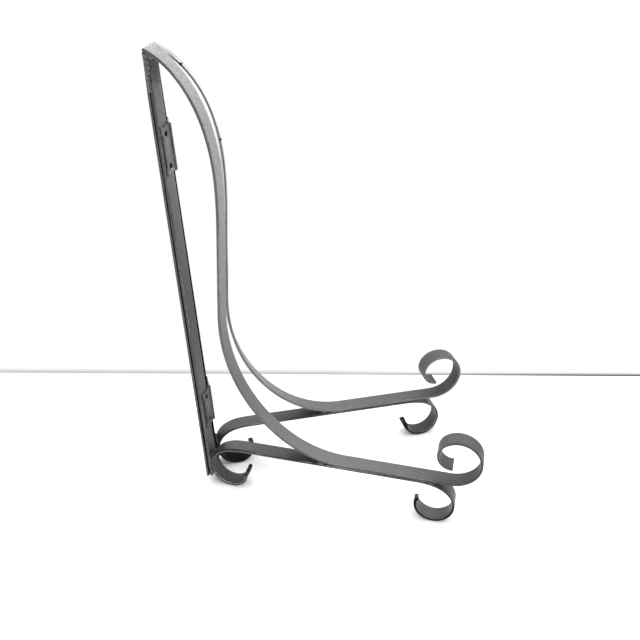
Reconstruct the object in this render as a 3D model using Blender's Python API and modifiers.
"""Folding display easel made of flat steel bar.

Two mirror-image side frames stand side by side and are joined at the back posts by
two butt hinges, so the easel opens like a book and folds flat.  Each side frame is a
double-layer post, a back strip that runs from the top of the post down an S-curve into
the ledge arm and ends in a scroll, and a foot strip that lies under the arm and ends
in a scroll foot at the back and at the front.

A side frame is laid out in its own plane: x runs forward and z up along the hinge
axis.  "Out" is the distance sideways from that plane, towards -Y on the right frame and
+Y on the left.  Lengths are in millimetres and become metres when a mesh is made or an
object is placed.
"""
import math

import bmesh
import bpy
from mathutils import Matrix, Vector

# ---------------------------------------------------------------- bars and stance
MM = 0.001
BAR_W = 15.9            # flat bar width, 5/8 in
BAR_T = 2.4             # flat bar thickness, 3/32 in
BAR_EDGE = 0.45         # bevel along the bar edges
BEVEL_ANGLE = 50.0      # degrees; sharper edges than this are bevelled
GAP = 0.3               # running gap between neighbouring pieces

HALF_OPEN = 14.0        # degrees each side frame stands away from the middle plane
SIDE_TILT = 0.45        # degrees each side frame leans in at the top, about TILT_Z
TILT_Z = 200.0
SIDES = {"right": -1.0, "left": 1.0}    # sign of Y on each side

BAR_INNER = 3.85        # inner edge of every bar, out from the frame's plane
BAR_OUTER = BAR_INNER + BAR_W
BAR_MIDDLE = (BAR_INNER + BAR_OUTER) / 2
PIN_BACK = 1.87         # hinge axis behind x = 0, measured in the middle plane

POST_FRONT = 2.5        # front face of the posts behind x = 0
POST_FOOT_Z = 17.5      # lower end of the post's back bar
FRONT_BAR_RISE = 0.8    # lower end of the front bar above that of the back bar
BACK_BAR_SPLAY = 1.2    # how much further back the back bar stands at its foot than its top
FRONT_BAR_X = -POST_FRONT - BAR_T           # back faces of the two bars
BACK_BAR_X = FRONT_BAR_X - GAP - BAR_T

# ---------------------------------------------------------------- course of the strips
ARM_X, ARM_Z = 140.5, 50.4      # a point on the top face of the ledge arm
ARM_FALL = 3.59                 # degrees the arm falls forward of square to the post
ARM_HEADING = -math.radians(ARM_FALL)
BEND_STEP = 6.5                 # largest bend of one facet, in degrees

# Straight lengths and bends are listed going away from the arm point.  A bend is
# (turn in degrees, radius at its start, radius at its end); a positive turn is
# anticlockwise to one who travels forward along the ledge, with x right and z up.
LEDGE_REAR = 10.4                                       # straight ledge behind the point
SWEEP = [(46.0, 79.0, 137.0), (46.7, 137.0, 169.0)]     # ledge up into the back rest
BACK_FLAT = 78.8                                        # straight middle of the back rest
CROWN = [(-33.9, 1200.0, 106.0), (-36.8, 106.0, 52.0)]  # over to the top of the post
CROWN_TRIM = {"right": 0.0, "left": 2.5}                # cut off the strip's top end
CROWN_ABOVE = 300.0                                     # the crown lies above this z
LEDGE_FRONT = 89.3                                      # straight ledge ahead of the point
LEDGE_SCROLL = [(185.0, 27.9, 19.1), (181.8, 19.1, 10.7)]
FOOT_FRONT = 55.9                                       # straight foot strip ahead
FRONT_FOOT = [(-57.2, 339.0, 22.2), (-201.5, 22.2, 17.5)]
HEEL = [(-43.0, 400.0, 21.7), (-77.1, 21.7, 23.2), (-158.2, 23.2, 14.1)]

# ---------------------------------------------------------------- hinges
HINGE_Z = {"upper": 328.1, "lower": 74.8}   # lower edge of the leaves
HINGE_H = 38.0          # leaf height
HINGE_REACH = 14.9      # hinge axis to the free edge of a leaf
KNUCKLES = {"right": (0, 2), "left": (1,)}  # knuckles of each leaf, from the bottom
KNUCKLE_H = HINGE_H / 3
LEAF_T = 1.0
LEAF_ROOT = 2.2         # hinge axis to the edge of the plate beside the knuckles
# Faces of a leaf's plate, forward of the hinge axis: the back one lies on the post.
LEAF_BACK = PIN_BACK * math.cos(math.radians(HALF_OPEN)) - POST_FRONT + GAP
LEAF_FRONT = LEAF_BACK + LEAF_T
BARREL_R = 1.7
BORE_R = 0.95
BARREL_STEPS = 22
ROUND_SEGMENTS = 24     # bores, pins and screw holes
NOTCH_OVER = 1.0        # notch cutter beyond the barrel
NOTCH_END_OVER = 3.0    # notch cutter beyond the end of a leaf

PIN_R = 0.85
PIN_HEAD_R, PIN_HEAD_H = 1.5, 0.6
# Outline of a pin's button: (part of the head radius, part of the head height)
PIN_BUTTON = [(0.0, 1.0), (0.62, 0.92), (0.92, 0.55), (1.0, 0.0)]
PIN_MERGE = 0.02        # merge distance at the turning axis

SCREW_HOLE_R = 1.9
SCREW_SINK_R = 2.9      # countersink
SCREW_SINK_START = 0.35     # countersink starts this far forward of the leaf's back
SCREW_SINK_OVER = 0.02      # and reaches its full radius this far beyond the front
SCREW_OVER = 1.0        # screw hole cutter beyond the leaf's faces
SCREW_PITCH = 26.0
SCREW_OUT = 8.8

# ---------------------------------------------------------------- weld metal
# Half sizes of the beads are (forward, sideways, up).
TACK_HALF = (0.65, 1.4, 3.2)
TACK_BESIDE = 1.5       # tack centre out from the gap beside the leaf
TACK_INSET = 2.2        # tack centre from the end of the leaf
# Beads over the seam between the two post bars: half sizes, centre below the back bar's top
SEAM_BEADS = {"crown": ((1.9, 0.7, 6.0), 9.0), "post": ((1.6, 0.7, 5.0), 21.5)}
CORNER_HALF = (1.5, 5.5, 2.0)
CORNER_DROP = 6.4       # corner bead below the front bar's top
HEEL_BEAD_HALF = (0.9, 5.6, 2.2)
HEEL_BEAD_FORWARD = 1.0     # centre forward of the gap at the post
HEEL_BEAD_SPREAD = 11.5     # centre above or below where the heel meets the post
REAR_BEAD_HALF = (2.4, 5.8, 1.2)
REAR_BEAD_AHEAD = -33.0     # along the arm from the arm point
REAR_BEAD_RISE = 1.9        # above the line of the foot strip's top face
REAR_BEAD_TILT = ARM_FALL + 3.0     # degrees; a positive tilt raises a bead's front
FRONT_BEAD_HALF = (1.9, 5.8, 0.8)
FRONT_BEAD_TILT = -13.0
PARTING = 3.0           # clearance between arm and foot strip at the front bead

PAINT = (0.050, 0.051, 0.052)

# ---------------------------------------------------------------- clean scene
for old in list(bpy.data.objects):
    bpy.data.objects.remove(old, do_unlink=True)

parts = bpy.data.collections.new("display_easel")
cutters = bpy.data.collections.new("easel_cutters")
for collection in (parts, cutters):
    bpy.context.scene.collection.children.link(collection)


# ---------------------------------------------------------------- objects and meshes
def paint(name, shade, rough, metal):
    """Dark paint; shade scales its colour."""
    material = bpy.data.materials.new(name + "_paint")
    material.use_nodes = True
    inputs = material.node_tree.nodes["Principled BSDF"].inputs
    inputs["Base Color"].default_value = tuple(c * shade for c in PAINT) + (1.0,)
    inputs["Roughness"].default_value = rough
    inputs["Metallic"].default_value = metal
    return material


def add_object(name, mesh, parent, shade, rough=0.42, metal=0.25):
    obj = bpy.data.objects.new(name, mesh)
    parts.objects.link(obj)
    mesh.materials.clear()
    mesh.materials.append(paint(name, shade=shade, rough=rough, metal=metal))
    obj.parent = parent
    return obj


def add_empty(name, parent=None):
    empty = bpy.data.objects.new(name, None)
    parts.objects.link(empty)
    empty.parent = parent
    return empty


def smooth(obj, angle):
    obj.data.shade_smooth()
    obj.data.set_sharp_from_angle(angle=math.radians(angle))


def roll_edges(obj):
    edge = obj.modifiers.new("rolled_edges", "BEVEL")
    edge.width = BAR_EDGE * MM
    edge.segments = 1
    edge.limit_method = "ANGLE"
    edge.angle_limit = math.radians(BEVEL_ANGLE)


def finish_mesh(name, solid):
    """A new mesh from a bmesh, which is freed."""
    mesh = bpy.data.meshes.new(name)
    solid.to_mesh(mesh)
    solid.free()
    return mesh


def box_mesh(name, low, high):
    low, high = Vector(low), Vector(high)
    solid = bmesh.new()
    bmesh.ops.create_cube(solid, size=1.0)
    bmesh.ops.scale(solid, vec=(high - low) * MM, verts=solid.verts)
    bmesh.ops.translate(solid, vec=(high + low) / 2 * MM, verts=solid.verts)
    return finish_mesh(name, solid)


def extruded_mesh(name, loops, height, closed):
    """Outlines of (x, y) points extruded along Z about z = 0; closed ones are filled."""
    curve = bpy.data.curves.new(name, "CURVE")
    curve.dimensions = "2D"
    curve.fill_mode = "BOTH" if closed else "NONE"
    curve.extrude = height / 2 * MM
    for loop in loops:
        spline = curve.splines.new("POLY")
        spline.use_cyclic_u = closed
        spline.points.add(len(loop) - 1)
        for point, (x, y) in zip(spline.points, loop):
            point.co = (x * MM, y * MM, 0.0, 1.0)
    temp = bpy.data.objects.new(name, curve)
    cutters.objects.link(temp)
    bpy.context.view_layer.update()
    evaluated = temp.evaluated_get(bpy.context.evaluated_depsgraph_get())
    mesh = bpy.data.meshes.new_from_object(evaluated)
    bpy.data.objects.remove(temp)
    return mesh


def out_span(side, near, far):
    """Lower and upper y of a piece that reaches from near to far out."""
    sign = SIDES[side]
    return min(sign * near, sign * far), max(sign * near, sign * far)


# ---------------------------------------------------------------- standing frame
stand = add_empty("easel_stand")
hinge_frame = {}        # square to the hinge axis: carries leaves, their tacks and the pins
side_frame = {}         # leans in at the top: carries the bars and their welds
half_open = math.radians(HALF_OPEN)
for side, sign in SIDES.items():
    frame = add_empty(side + "_hinge_frame", stand)
    frame.rotation_euler = (0.0, 0.0, sign * half_open)
    frame.location = (-PIN_BACK * MM, 0.0, 0.0)
    hinge_frame[side] = frame

    tilt = sign * math.radians(SIDE_TILT)
    frame = add_empty(side + "_side_frame", frame)
    frame.rotation_euler = (tilt, 0.0, 0.0)
    # The side frame's own origin, seen from the hinge axis behind it.
    frame.location = (
        PIN_BACK * math.cos(half_open) * MM,
        (TILT_Z * math.sin(tilt) - sign * PIN_BACK * math.sin(half_open)) * MM,
        TILT_Z * (1.0 - math.cos(tilt)) * MM,
    )
    side_frame[side] = frame


# ---------------------------------------------------------------- paths of the strips
def walk(start, moves, way):
    """Follow a bar's face from start (x, z, heading).  A move is a straight length or a
    bend (turn, radius in, radius out) whose curvature changes evenly along the bar.
    way is +1 along the bar and -1 back along it."""
    x, z, heading = start
    points = [(x, z)]
    for move in moves:
        if isinstance(move, (int, float)):
            x += way * move * math.cos(heading)
            z += way * move * math.sin(heading)
            points.append((x, z))
            continue
        turn, radius_in, radius_out = move
        sign = 1.0 if turn >= 0 else -1.0
        bend_in, bend_out = sign / radius_in, sign / radius_out
        length = math.radians(turn) / (0.5 * (bend_in + bend_out))
        steps = max(3, math.ceil(abs(turn) / BEND_STEP))
        stride = length / steps
        for i in range(steps):
            bend = bend_in + (bend_out - bend_in) * (i + 0.5) / steps
            middle = heading + way * bend * stride / 2
            x += way * math.cos(middle) * stride
            z += way * math.sin(middle) * stride
            heading += way * bend * stride
            points.append((x, z))
    return points


def trimmed(path, length):
    """The path with its first length cut off."""
    path = list(path)
    while length > 0:
        (x0, z0), (x1, z1) = path[0], path[1]
        facet = math.hypot(x1 - x0, z1 - z0)
        if facet > length:
            path[0] = (x0 + (x1 - x0) * length / facet, z0 + (z1 - z0) * length / facet)
            length = 0
        else:
            length -= facet
            path.pop(0)
    return path


def crown_underside(x):
    """Height of the crown's underside at x."""
    height = None
    for (x0, z0), (x1, z1) in zip(back_strip_path, back_strip_path[1:]):
        facet = math.hypot(x1 - x0, z1 - z0)
        shift_x = (z1 - z0) / facet * BAR_T
        shift_z = -(x1 - x0) / facet * BAR_T
        if x0 + shift_x <= x <= x1 + shift_x:
            z = z0 + shift_z + (z1 - z0) * (x - x0 - shift_x) / (x1 - x0)
            if z > CROWN_ABOVE:
                height = z
    return height


def on_arm(ahead, below):
    """A point ahead of the arm point and below the ledge's top face."""
    return (ARM_X + ahead * math.cos(ARM_HEADING) + below * math.sin(ARM_HEADING),
            ARM_Z + ahead * math.sin(ARM_HEADING) - below * math.cos(ARM_HEADING))


def arm_place(point):
    """How far a point lies (ahead of the arm point, below the ledge's top face)."""
    x, z = point[0] - ARM_X, point[1] - ARM_Z
    return (x * math.cos(ARM_HEADING) + z * math.sin(ARM_HEADING),
            x * math.sin(ARM_HEADING) - z * math.cos(ARM_HEADING))


# The back strip runs from the top of the post to the scroll at the front of the ledge.
arm_top = (ARM_X, ARM_Z, ARM_HEADING)
back_strip_path = (
    walk(arm_top, [LEDGE_REAR] + SWEEP + [BACK_FLAT] + CROWN, -1)[::-1]
    + walk(arm_top, [LEDGE_FRONT] + LEDGE_SCROLL, 1)[1:]
)

# The foot strip runs back far enough for its heel scroll to meet the post.
foot_top = (*on_arm(0.0, BAR_T + GAP), ARM_HEADING)
heel_without_run = walk(foot_top, HEEL, -1)
heel_run = (min(x for x, z in heel_without_run) + POST_FRONT - GAP) / math.cos(ARM_HEADING)
heel_path = walk(foot_top, [heel_run] + HEEL, -1)
front_path = walk(foot_top, [FOOT_FRONT] + FRONT_FOOT, 1)[1:]
foot_strip_path = heel_path[::-1] + front_path

# Each post bar is cut off just under the sloping strip.
back_bar_top = crown_underside(BACK_BAR_X + BAR_T) - GAP
front_bar_top = crown_underside(-POST_FRONT) - GAP


# ---------------------------------------------------------------- bars
def bent_bar(name, path, side, shade):
    """A strip BAR_W wide whose thickness lies to the right of its path."""
    mesh = extruded_mesh(name, [path], BAR_W, closed=False)
    mesh.transform(Matrix.Rotation(math.radians(90), 4, "X"))
    sheet = bmesh.new()
    sheet.from_mesh(mesh)
    bmesh.ops.remove_doubles(sheet, verts=sheet.verts, dist=1e-6)
    sheet.normal_update()
    # Normals point left of the travel, so that the sheet thickens to the right.
    (x0, z0), (x1, z1) = path[0], path[1]
    left = Vector((-(z1 - z0), 0.0, x1 - x0))
    start = Vector(((x0 + x1) / 2 * MM, 0.0, (z0 + z1) / 2 * MM))
    first = min(sheet.faces, key=lambda face: (face.calc_center_median() - start).length)
    if first.normal.dot(left) < 0:
        bmesh.ops.reverse_faces(sheet, faces=sheet.faces)
    sheet.to_mesh(mesh)
    sheet.free()

    obj = add_object(name, mesh, side_frame[side], shade=shade)
    obj.location = (0.0, SIDES[side] * BAR_MIDDLE * MM, 0.0)
    wall = obj.modifiers.new("thickness", "SOLIDIFY")
    wall.thickness = BAR_T * MM
    wall.offset = -1.0
    wall.use_even_offset = True
    roll_edges(obj)
    smooth(obj, angle=30.0)


def post_bar(name, side, back, bottom, top, shade, splay=0.0):
    """An upright bar; its foot stands splay further back than its top."""
    y_low, y_high = out_span(side, BAR_INNER, BAR_OUTER)
    mesh = box_mesh(name, (back, y_low, bottom), (back + BAR_T, y_high, top))
    pivot = Matrix.Translation(Vector((back, 0.0, top)) * MM)
    turn = Matrix.Rotation(math.atan2(splay, top - bottom), 4, "Y")
    mesh.transform(pivot @ turn @ pivot.inverted())
    roll_edges(add_object(name, mesh, side_frame[side], shade=shade))


def side_bars(side):
    bent_bar(side + "_backrest_strip", trimmed(back_strip_path, CROWN_TRIM[side]), side,
             shade=1.0)
    bent_bar(side + "_foot_strip", foot_strip_path, side, shade=0.98)
    post_bar(side + "_post_front_bar", side, FRONT_BAR_X, POST_FOOT_Z + FRONT_BAR_RISE,
             front_bar_top, shade=1.02)
    post_bar(side + "_post_back_bar", side, BACK_BAR_X, POST_FOOT_Z,
             back_bar_top, shade=0.96, splay=BACK_BAR_SPLAY)


# ---------------------------------------------------------------- hinge pieces
def screw_hole_mesh(name, y, z):
    """A solid turned about a forward axis: a screw hole and its countersink."""
    profile = [     # (radius, x)
        (0.0, LEAF_BACK - SCREW_OVER),
        (SCREW_HOLE_R, LEAF_BACK - SCREW_OVER),
        (SCREW_HOLE_R, LEAF_BACK + SCREW_SINK_START),
        (SCREW_SINK_R, LEAF_FRONT + SCREW_SINK_OVER),
        (SCREW_SINK_R, LEAF_FRONT + SCREW_OVER),
        (0.0, LEAF_FRONT + SCREW_OVER),
    ]
    solid = bmesh.new()
    points = [solid.verts.new((x * MM, y * MM, (z + radius) * MM)) for radius, x in profile]
    lines = [solid.edges.new(pair) for pair in zip(points, points[1:])]
    bmesh.ops.spin(solid, geom=points + lines, cent=(0.0, y * MM, z * MM),
                   axis=(1.0, 0.0, 0.0), angle=math.tau, steps=ROUND_SEGMENTS, use_merge=True)
    bmesh.ops.remove_doubles(solid, verts=solid.verts, dist=1e-6)
    bmesh.ops.recalc_face_normals(solid, faces=solid.faces)
    return finish_mesh(name, solid)


def cut(obj, mesh):
    """Subtract a mesh, held by a hidden helper beside obj."""
    tool = bpy.data.objects.new(mesh.name, mesh)
    cutters.objects.link(tool)
    tool.parent = obj.parent
    tool.hide_render = True
    tool.hide_viewport = True
    tool.display_type = "WIRE"
    difference = obj.modifiers.new("difference", "BOOLEAN")
    difference.operation = "DIFFERENCE"
    difference.solver = "EXACT"
    difference.object = tool


def leaf_section(sign):
    """The leaf seen along the pin, as (x, y): a flat plate rolled once round the pin."""
    start = math.degrees(math.asin(LEAF_BACK / BARREL_R))
    end = -360.0 + math.degrees(math.asin(LEAF_FRONT / BARREL_R))
    outline = [(LEAF_BACK, sign * HINGE_REACH)]
    for i in range(BARREL_STEPS + 1):
        angle = math.radians(start + (end - start) * i / BARREL_STEPS)
        outline.append((BARREL_R * math.sin(angle), sign * BARREL_R * math.cos(angle)))
    outline.append((LEAF_FRONT, sign * HINGE_REACH))
    angles = [math.tau * i / ROUND_SEGMENTS for i in range(ROUND_SEGMENTS)]
    bore = [(BORE_R * math.sin(angle), sign * BORE_R * math.cos(angle)) for angle in angles]
    return outline, bore


def hinge_leaf(name, side, bottom):
    sign = SIDES[side]
    middle = bottom + HINGE_H / 2
    mesh = extruded_mesh(name, leaf_section(sign), HINGE_H, closed=True)
    solid = bmesh.new()
    solid.from_mesh(mesh)
    bmesh.ops.remove_doubles(solid, verts=solid.verts, dist=1e-6)
    bmesh.ops.translate(solid, vec=(0, 0, middle * MM), verts=solid.verts)
    bmesh.ops.recalc_face_normals(solid, faces=solid.faces)
    solid.to_mesh(mesh)
    solid.free()
    obj = add_object(name, mesh, hinge_frame[side], shade=0.95, rough=0.45)

    # The other leaf's knuckles turn in the notches.
    barrel_reach = BARREL_R + NOTCH_OVER
    y_low, y_high = out_span(side, -barrel_reach, LEAF_ROOT)
    for i in range(3):
        if i in KNUCKLES[side]:
            continue
        z_low = bottom + i * KNUCKLE_H - GAP / 2
        z_high = bottom + (i + 1) * KNUCKLE_H + GAP / 2
        if i == 0:
            z_low = bottom - NOTCH_END_OVER
        if i == 2:
            z_high = bottom + HINGE_H + NOTCH_END_OVER
        cut(obj, box_mesh(name + "_notch", (-barrel_reach, y_low, z_low),
                          (barrel_reach, y_high, z_high)))
    for step in (-0.5, 0.5):
        cut(obj, screw_hole_mesh(name + "_drill", sign * SCREW_OUT,
                                 middle + step * SCREW_PITCH))


def hinge_pin(name, bottom):
    """A turned pin with a low button at each end, carried by the right hinge frame."""
    z_low, z_high = bottom - GAP, bottom + HINGE_H + GAP
    upper = [(r * PIN_HEAD_R, z_high + h * PIN_HEAD_H) for r, h in PIN_BUTTON]
    lower = [(r * PIN_HEAD_R, z_low - h * PIN_HEAD_H) for r, h in reversed(PIN_BUTTON)]
    profile = upper + [(PIN_R, z_high), (PIN_R, z_low)] + lower
    mesh = bpy.data.meshes.new(name)
    mesh.from_pydata([(radius * MM, 0.0, z * MM) for radius, z in profile],
                     [(i, i + 1) for i in range(len(profile) - 1)], [])
    obj = add_object(name, mesh, hinge_frame["right"], shade=0.8, rough=0.4, metal=0.6)
    turned = obj.modifiers.new("turned", "SCREW")
    turned.axis = "Z"
    turned.angle = math.tau
    turned.steps = turned.render_steps = ROUND_SEGMENTS
    turned.use_merge_vertices = True
    turned.merge_threshold = PIN_MERGE * MM


# ---------------------------------------------------------------- weld beads
def weld_bead(name, side, x, out, z, half, tilt=0.0, frames=side_frame):
    """A flattened drop of weld metal with its half sizes; tilt raises its front."""
    solid = bmesh.new()
    bmesh.ops.create_uvsphere(solid, u_segments=12, v_segments=7, radius=1.0)
    bmesh.ops.scale(solid, vec=Vector(half) * MM, verts=solid.verts)
    bmesh.ops.rotate(solid, matrix=Matrix.Rotation(math.radians(-tilt), 3, "Y"),
                     verts=solid.verts)
    bmesh.ops.translate(solid, vec=Vector((x, SIDES[side] * out, z)) * MM, verts=solid.verts)
    obj = add_object(name, finish_mesh(name, solid), frames[side],
                     shade=0.85, rough=0.5, metal=0.3)
    smooth(obj, angle=80.0)


def leaf_tacks(hinge, side, bottom):
    """A tack at each outer corner of the leaf holds it to the post."""
    for end, z in (("lower", bottom + TACK_INSET), ("upper", bottom + HINGE_H - TACK_INSET)):
        weld_bead(f"{side}_{hinge}_leaf_{end}_tack", side, LEAF_BACK + TACK_HALF[0],
                  HINGE_REACH + GAP + TACK_BESIDE, z, TACK_HALF, frames=hinge_frame)


def post_beads(side):
    """Two beads on the outer edge over the seam between the post's bars, and one in the
    corner between the post and the underside of the back strip."""
    for place, (half, below) in SEAM_BEADS.items():
        weld_bead(f"{side}_{place}_seam_bead", side, FRONT_BAR_X - GAP / 2,
                  BAR_OUTER + GAP + half[1], back_bar_top - below, half)
    weld_bead(side + "_crown_corner_bead", side, -POST_FRONT + GAP + CORNER_HALF[0],
              BAR_MIDDLE, front_bar_top - CORNER_DROP, CORNER_HALF)


def heel_beads(side):
    """Beads above and below the place where the heel scroll meets the post."""
    meeting_z = min(heel_path)[1]
    for place, rise in (("upper", HEEL_BEAD_SPREAD), ("lower", -HEEL_BEAD_SPREAD)):
        weld_bead(f"{side}_heel_{place}_bead", side, -POST_FRONT + GAP + HEEL_BEAD_FORWARD,
                  BAR_MIDDLE, meeting_z + rise, HEEL_BEAD_HALF)


def arm_beads(side):
    """Beads between arm and foot strip, one at the rear and one where they part in front."""
    x, z = on_arm(REAR_BEAD_AHEAD, BAR_T + GAP - REAR_BEAD_RISE)
    weld_bead(side + "_rear_arm_bead", side, x, BAR_MIDDLE, z, REAR_BEAD_HALF,
              tilt=REAR_BEAD_TILT)
    ahead, below = next(place for place in map(arm_place, front_path)
                        if place[1] - BAR_T > PARTING)
    x, z = on_arm(ahead, (BAR_T + below) / 2)
    weld_bead(side + "_front_arm_bead", side, x, BAR_MIDDLE, z, FRONT_BEAD_HALF,
              tilt=FRONT_BEAD_TILT)


# ---------------------------------------------------------------- build
for side in SIDES:
    side_bars(side)
    for hinge, bottom in HINGE_Z.items():
        hinge_leaf(f"{hinge}_hinge_{side}_leaf", side, bottom)
        leaf_tacks(hinge, side, bottom)
    post_beads(side)
    heel_beads(side)
    arm_beads(side)

for hinge, bottom in HINGE_Z.items():
    hinge_pin(hinge + "_hinge_pin", bottom)


# ---------------------------------------------------------------- stand it on its origin
def stand_up():
    """Lean the hinge axis back until the heel and front scrolls touch the floor together,
    then centre the easel over the origin with its lowest point on the floor."""
    heel_x, heel_z = min(heel_path, key=lambda point: point[1])
    foot_x, foot_z = min(front_path, key=lambda point: point[1])
    lean = math.atan((heel_z - foot_z) / ((foot_x - heel_x) * math.cos(half_open)))
    stand.rotation_euler = (0.0, -lean, 0.0)
    bpy.context.view_layer.update()

    depsgraph = bpy.context.evaluated_depsgraph_get()
    corners = []
    for obj in parts.objects:
        if obj.type == "MESH":
            evaluated = obj.evaluated_get(depsgraph)
            corners += [evaluated.matrix_world @ vert.co for vert in evaluated.data.vertices]
    low = [min(corner[i] for corner in corners) for i in range(3)]
    high = [max(corner[i] for corner in corners) for i in range(3)]
    stand.location = (-(low[0] + high[0]) / 2, -(low[1] + high[1]) / 2, -low[2])
    bpy.context.view_layer.update()


stand_up()
